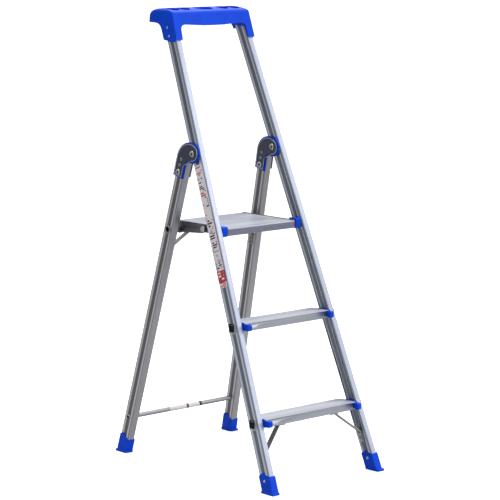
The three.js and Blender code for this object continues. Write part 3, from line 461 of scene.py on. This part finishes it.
def finish_frame():
    for side, _ in SIDES:
        finish_node(f"{side}_front_rail", RAIL_METAL[side], 0.25 * MM, smooth=False)
        finish_node(f"{side}_rear_leg", LEG_METAL[side], 0.25 * MM, smooth=False)
        finish_node(f"{side}_front_foot", BLUE_PLASTIC, 0.8 * MM)
        finish_node(f"{side}_rear_foot", BLUE_PLASTIC, 0.8 * MM)
        finish_node(f"{side}_hinge_body", BLUE_PLASTIC, 0.6 * MM)
        finish_node(f"{side}_platform_block", BLUE_PLASTIC, 0.6 * MM)
        finish_node(f"{side}_platform_side", STRIP_METAL, 0.3 * MM, smooth=False)
        finish_node(f"{side}_side_link", STRIP_METAL, 0.4 * MM, smooth=False)
        finish_node(f"{side}_tread_brace", BRACE_STEEL, 0.3 * MM, smooth=False)
        finish_node(f"{side}_rear_brace", BRACE_STEEL, 0.3 * MM, smooth=False)
        finish_node(f"{side}_spacer_sleeve", HINGE_STEEL, 0.3 * MM)
        finish_node(f"{side}_hinge_cover", HINGE_STEEL, 0.4 * MM)
        finish_node(f"{side}_hinge_backing", LEG_METAL[side], 0.3 * MM, smooth=False)
        for tread in ("lower_tread", "middle_tread"):
            finish_node(f"{tread}_{side}_cap", BLUE_PLASTIC, 0.5 * MM)
        for piece in ("foot_rivet", "hinge_rivet", "leg_rivet", "platform_pin", "link_rivet",
                      "brace_rivet_1", "brace_rivet_2", "tray_screw_1", "tray_screw_2"):
            finish_node(f"{side}_{piece}", BRIGHT_STEEL, 0.2 * MM)
    finish_node("lower_tread", TREAD_METAL, 0.3 * MM, smooth=False)
    finish_node("middle_tread", TREAD_METAL, 0.3 * MM, smooth=False)
    finish_node("platform_deck", TREAD_METAL, 0.3 * MM, smooth=False)
    finish_node("upper_rear_bar", BAR_METAL, 0.4 * MM)
    finish_node("lower_rear_bar", BAR_METAL, 0.4 * MM)
    finish_node("rail_label", RAIL_LABEL, 0.0)
    finish_node("bar_label", BAR_LABEL, 0.0)
    finish_node("tool_tray", BLUE_PLASTIC, 0.8 * MM)


# ------------------------------------------------------------------ added detail


def add_piece(name, corners, faces, material, body, place=None):
    """A mesh piece from corners in mm, which rides on a body and takes its finish from a slot."""
    mesh = bpy.data.meshes.new(name)
    mesh.from_pydata([tuple(value * MM for value in corner) for corner in corners], [], faces)
    if place is not None:
        mesh.transform(place)
    shape = bmesh.new()
    shape.from_mesh(mesh)
    bmesh.ops.recalc_face_normals(shape, faces=shape.faces)
    shape.to_mesh(mesh)
    shape.free()
    mesh.materials.append(material)
    piece = bpy.data.objects.new(name, mesh)
    bpy.context.scene.collection.objects.link(piece)
    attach(piece, body)
    return piece


RIB_PITCH = 3.0
RIB_FOOT = 0.95
RIB_CREST = 0.45
RIB_HEIGHT = 0.45


def ribs(name, places, top, body):
    """Low ribs along X, each at (y, half length) on a flat top."""
    corners, faces = [], []
    for y, half in places:
        first = len(corners)
        for x in (-half, half):
            inset = 0.5 if x < 0 else -0.5
            corners += [(x, y - RIB_FOOT, top - 0.1), (x, y + RIB_FOOT, top - 0.1),
                        (x + inset, y + RIB_CREST, top + RIB_HEIGHT),
                        (x + inset, y - RIB_CREST, top + RIB_HEIGHT)]
        a, b = first, first + 4
        faces += [(a, a + 1, a + 2, a + 3), (b, b + 3, b + 2, b + 1)]
        faces += [(a + i, b + i, b + (i + 1) % 4, a + (i + 1) % 4) for i in range(4)]
    add_piece(name, corners, faces, TREAD_METAL, body)


TREAD_CORNER = 19.0  # radius of the caps' back corners, in mm
CAP_RIM = 4.2
TREAD_NOSE = 15.0  # left plain at the front of a tread
TREAD_BACK = 3.5  # and at its back


def tread_ribs(tread):
    low, high = (Vector(corner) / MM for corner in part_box(tread))
    face = (Vector(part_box(f"{tread}_right_cap")[1]) / MM).x
    back = high.y
    places = []
    count = int((back - TREAD_BACK - (low.y + TREAD_NOSE)) / RIB_PITCH)
    for i in range(count + 1):
        y = low.y + TREAD_NOSE + i * RIB_PITCH
        past = y - (back - TREAD_CORNER)
        radius = TREAD_CORNER - CAP_RIM
        bow = 0.0 if past <= 0 else radius - math.sqrt(max(0.0, radius * radius - past * past))
        places.append((y, face - CAP_RIM - bow))
    ribs(f"{tread}_ribs", places, high.z, "front_frame")


DECK_PLAIN = 12.0  # left plain at the front and at the back of the deck
DECK_SIDE = 2.0


def deck_ribs():
    low, high = (Vector(corner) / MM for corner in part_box("platform_deck"))
    count = int((high.y - low.y - 2 * DECK_PLAIN) / RIB_PITCH)
    places = [(low.y + DECK_PLAIN + i * RIB_PITCH, high.x - DECK_SIDE) for i in range(count + 1)]
    ribs("platform_deck_ribs", places, high.z, "platform")


APRON_FLUTES = 5
APRON_BOTTOM = 0.8  # the band's distance from the apron's lower edge, upper edge and sides
APRON_TOP = 3.2
APRON_SIDE = 0.6
APRON_BACK = 0.1  # how far the band's back is sunk, and its valleys and crests stand out
APRON_VALLEY = 0.15
APRON_CREST = 0.55


def apron_strip():
    """Fluted band down the front of the platform, below its bright top edge; its darker aluminium is painted
    shade of this front face.
    """
    low, high = (Vector(corner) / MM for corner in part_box("platform_deck"))
    bottom, top = low.z + APRON_BOTTOM, high.z - APRON_TOP
    pitch = (top - bottom) / APRON_FLUTES
    profile = [(low.y + APRON_BACK, bottom)]
    for i in range(APRON_FLUTES):
        start = bottom + i * pitch
        profile += [(low.y - APRON_VALLEY, start), (low.y - APRON_CREST, start + 0.25 * pitch),
                    (low.y - APRON_CREST, start + 0.75 * pitch)]
    profile += [(low.y - APRON_VALLEY, top), (low.y + APRON_BACK, top)]
    count = len(profile)
    half = high.x - APRON_SIDE
    corners = [(x, y, z) for x in (-half, half) for y, z in profile]
    faces = [tuple(range(count)), tuple(range(2 * count - 1, count - 1, -1))]
    faces += [(i, (i + 1) % count, count + (i + 1) % count, count + i) for i in range(count)]
    add_piece("platform_apron", corners, faces, APRON_SHADED_METAL, "platform")


RAIL_HALF_DEPTH = 18.0
TUBE_MIDDLE = 10.0  # of a tread's tube, below the tread's top
PLUG_RINGS = ((10.2, -0.4), (10.2, 0.5), (9.6, 0.9), (7.6, 0.9), (6.6, -1.6))  # (half width, outward)


def tube_plugs(tread):
    """A dished square plug in each end of a tread's tube."""
    high = Vector(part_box(tread)[1]) / MM
    centre_z = high.z - TUBE_MIDDLE
    half_depth = RAIL_HALF_DEPTH / math.cos(RAIL["lean"])
    centre_y = (half_depth + centre_z * math.tan(-RAIL["lean"])) - ORIGIN_Y
    for name, side in SIDES:
        corners = []
        for half, rise in PLUG_RINGS:
            clipped = 0.75 * half
            outline = ((half, -clipped), (half, clipped), (clipped, half), (-clipped, half),
                       (-half, clipped), (-half, -clipped), (-clipped, -half), (clipped, -half))
            x = side * high.x + side * rise
            corners += [(x, centre_y + y, centre_z + z) for y, z in outline]
        last = 8 * (len(PLUG_RINGS) - 1)
        faces = [tuple(range(8)), tuple(range(last, last + 8))]
        for row in range(len(PLUG_RINGS) - 1):
            here, after = 8 * row, 8 * row + 8
            faces += [(here + i, here + (i + 1) % 8, after + (i + 1) % 8, after + i) for i in range(8)]
        add_piece(f"{tread}_{name}_tube_plug", corners, faces, PLUG_BLACK, "front_frame")


def arc(centre, radius, start, end, count):
    """Points along an arc between two angles in degrees."""
    angles = [math.radians(start + (end - start) * i / count) for i in range(count + 1)]
    return [(centre[0] + radius * math.cos(a), centre[1] + radius * math.sin(a)) for a in angles]


COVER_LOBE = 21.5  # radius round the hinge rivet
COVER_SWEEP = 47.6  # radius of the cover's back, and that arc's centre
COVER_SWEEP_CENTRE = (7.5, -25.0)
COVER_BACK = 55.1
COVER_INNER = 21.0
COVER_NECK = -40.4  # where the inner edge meets the lobe
COVER_BOTTOM = -73.2
COVER_CLIP = 2.5
ARC_STEPS = 22


def cover_outline(margin):
    """Outline in (y, z) of the leg's frame, inside the hinge cover's own edge by a margin."""
    back, inner, bottom = COVER_BACK - margin, COVER_INNER + margin, COVER_BOTTOM + margin
    points = [(inner, bottom), (inner, COVER_NECK)]
    points += arc((0.0, 0.0), COVER_LOBE - margin, -100.0, -250.0, ARC_STEPS)
    points += arc(COVER_SWEEP_CENTRE, COVER_SWEEP - margin, 100.0, 0.0, ARC_STEPS)
    points += [(back, bottom + COVER_CLIP), (back - COVER_CLIP, bottom)]
    return points


RIM_SECTION = ((1.0, 0.1), (1.4, -0.75), (2.3, -1.0), (3.2, -0.75), (3.6, 0.1))  # (margin, outward is minus)


def hinge_rim(side_name, side):
    """The rolled bead that stands up along the edge of a pressed hinge cover, in a much brighter steel than
    the cover: a painted highlight along the bead.
    """
    face = -COVER_FACE
    loops = [[(face + rise, y, z) for y, z in cover_outline(margin)] for margin, rise in RIM_SECTION]
    count = len(loops[0])
    corners = [corner for loop in loops for corner in loop]
    faces = []
    for row in range(len(loops)):
        here, after = row * count, ((row + 1) % len(loops)) * count
        faces += [(here + i, here + (i + 1) % count, after + (i + 1) % count, after + i)
                  for i in range(count)]
    piece = add_piece(f"{side_name}_hinge_cover_rim", corners, faces, RIM_HIGHLIGHT_STEEL, "rear_frame",
                      member_frame(LEG, side))
    piece.data.shade_smooth()


DIMPLE_PROFILE = ((4.0, 0.1), (3.8, -0.6), (3.1, -0.95), (2.4, -0.6), (1.9, 0.1))  # (radius, as above)
DIMPLE_PLACES = ((36.5, -27.7), (38.0, -43.0))
DIMPLE_TURNS = 20


def hinge_dimples(side_name, side):
    """Two pressed rings between the hinge rivet and the leg rivet, coloured bright steel unlike the dark
    cover they are pressed in: a painted highlight.
    """
    turns, rings = DIMPLE_TURNS, len(DIMPLE_PROFILE)
    corners, faces = [], []
    for y, z in DIMPLE_PLACES:
        first = len(corners)
        for radius, rise in DIMPLE_PROFILE:
            for i in range(turns):
                angle = 2 * math.pi * i / turns
                across, up = radius * math.cos(angle), radius * math.sin(angle)
                corners.append((-COVER_FACE + rise, y + across, z + up))
        for row in range(rings):
            here, after = first + row * turns, first + ((row + 1) % rings) * turns
            faces += [(here + i, here + (i + 1) % turns, after + (i + 1) % turns, after + i)
                      for i in range(turns)]
    # Bright zinc-plated steel on rings pressed into the dark cover: a painted highlight.
    piece = add_piece(f"{side_name}_hinge_cover_dimples", corners, faces, BRIGHT_STEEL, "rear_frame",
                      member_frame(LEG, side))
    piece.data.shade_smooth()


def add_detail():
    for tread in ("lower_tread", "middle_tread"):
        tread_ribs(tread)
        tube_plugs(tread)
    deck_ribs()
    apron_strip()
    for name, side in SIDES:
        hinge_rim(name, side)
        hinge_dimples(name, side)


# ------------------------------------------------------------------ room and camera


FLOOR_HALF = 45.0  # wide enough for its edge to stay out of view


def build_room():
    mesh = bpy.data.meshes.new("floor")
    shape = bmesh.new()
    for x, y in ((-1, -1), (1, -1), (1, 1), (-1, 1)):
        shape.verts.new((x * FLOOR_HALF, y * FLOOR_HALF, 0.0))
    shape.faces.new(shape.verts)
    shape.to_mesh(mesh)
    shape.free()
    floor = bpy.data.objects.new("floor", mesh)
    bpy.context.scene.collection.objects.link(floor)
    pale = Material("pale_floor")
    rays = pale.tree.nodes.new("ShaderNodeLightPath")
    seen = mix_colour(pale.tree, rays.outputs["Is Camera Ray"], (0.42, 0.42, 0.43), (0.9, 0.9, 0.9))
    pale.set(Base_Color=seen, Roughness=0.9)
    pale.set(Emission_Color=(1.0, 1.0, 1.0))
    pale.set(Emission_Strength=math_node(pale.tree, "MULTIPLY", rays.outputs["Is Camera Ray"], 0.55))
    mesh.materials.append(pale.material)


def build_world():
    """White seen directly; as light, bright above and in front, dimmer low down and to the sides."""
    world = bpy.data.worlds.new("studio")
    bpy.context.scene.world = world
    world.use_nodes = True
    tree = world.node_tree
    lit = tree.nodes["Background"]
    coordinates = tree.nodes.new("ShaderNodeTexCoord")
    towards = tree.nodes.new("ShaderNodeVectorMath")
    towards.operation = "DOT_PRODUCT"
    link(tree, coordinates.outputs["Generated"], towards.inputs[0])
    towards.inputs[1].default_value = Vector((0.8, -0.22, 0.5)).normalized()
    link(tree, map_range(tree, towards.outputs["Value"], -0.6, 0.8, 0.2, 1.1), lit.inputs["Strength"])
    seen = tree.nodes.new("ShaderNodeBackground")
    seen.inputs["Color"].default_value = (1.0, 1.0, 1.0, 1.0)
    rays = tree.nodes.new("ShaderNodeLightPath")
    mix = tree.nodes.new("ShaderNodeMixShader")
    link(tree, rays.outputs["Is Camera Ray"], mix.inputs["Fac"])
    link(tree, lit.outputs[0], mix.inputs[1])
    link(tree, seen.outputs[0], mix.inputs[2])
    link(tree, mix.outputs[0], tree.nodes["World Output"].inputs["Surface"])
    lit.inputs["Color"].default_value = (1.0, 1.0, 1.0, 1.0)
    bpy.context.scene.view_settings.view_transform = "Standard"


def add_light(name, location, target, size, power):
    data = bpy.data.lights.new(name, "AREA")
    data.shape = "RECTANGLE"
    data.size, data.size_y = size
    data.energy = power
    lamp = bpy.data.objects.new(name, data)
    lamp.location = location
    lamp.rotation_euler = (Vector(target) - Vector(location)).to_track_quat("-Z", "Y").to_euler()
    bpy.context.scene.collection.objects.link(lamp)


LIGHT_TARGET = (0.0, 0.0, 0.6)


def build_lights():
    add_light("key", (1.2, -3.4, 2.6), LIGHT_TARGET, (1.2, 1.8), 42)
    add_light("fill", (-3.6, 0.4, 1.4), LIGHT_TARGET, (0.35, 2.6), 20)
    add_light("top", (0.2, 0.4, 3.6), LIGHT_TARGET, (2.4, 2.4), 42)


def build_camera():
    data = bpy.data.cameras.new("camera")
    data.lens = 155.29
    data.sensor_width = 36.0
    data.shift_x = -0.0263
    data.shift_y = -0.0649
    data.clip_end = 100.0
    camera = bpy.data.objects.new("camera", data)
    azimuth, elevation = math.radians(-41.4), math.radians(7.9)
    level = math.cos(elevation)
    back = Vector((math.sin(azimuth) * level, -math.cos(azimuth) * level, math.sin(elevation)))
    camera.location = (-3.6425, -4.1915, 1.4170)
    camera.rotation_mode = "QUATERNION"
    camera.rotation_quaternion = (-back).to_track_quat("-Z", "Y")
    bpy.context.scene.collection.objects.link(camera)
    bpy.context.scene.camera = camera


finish_frame()
add_detail()
build_room()
build_world()
build_lights()
build_camera()
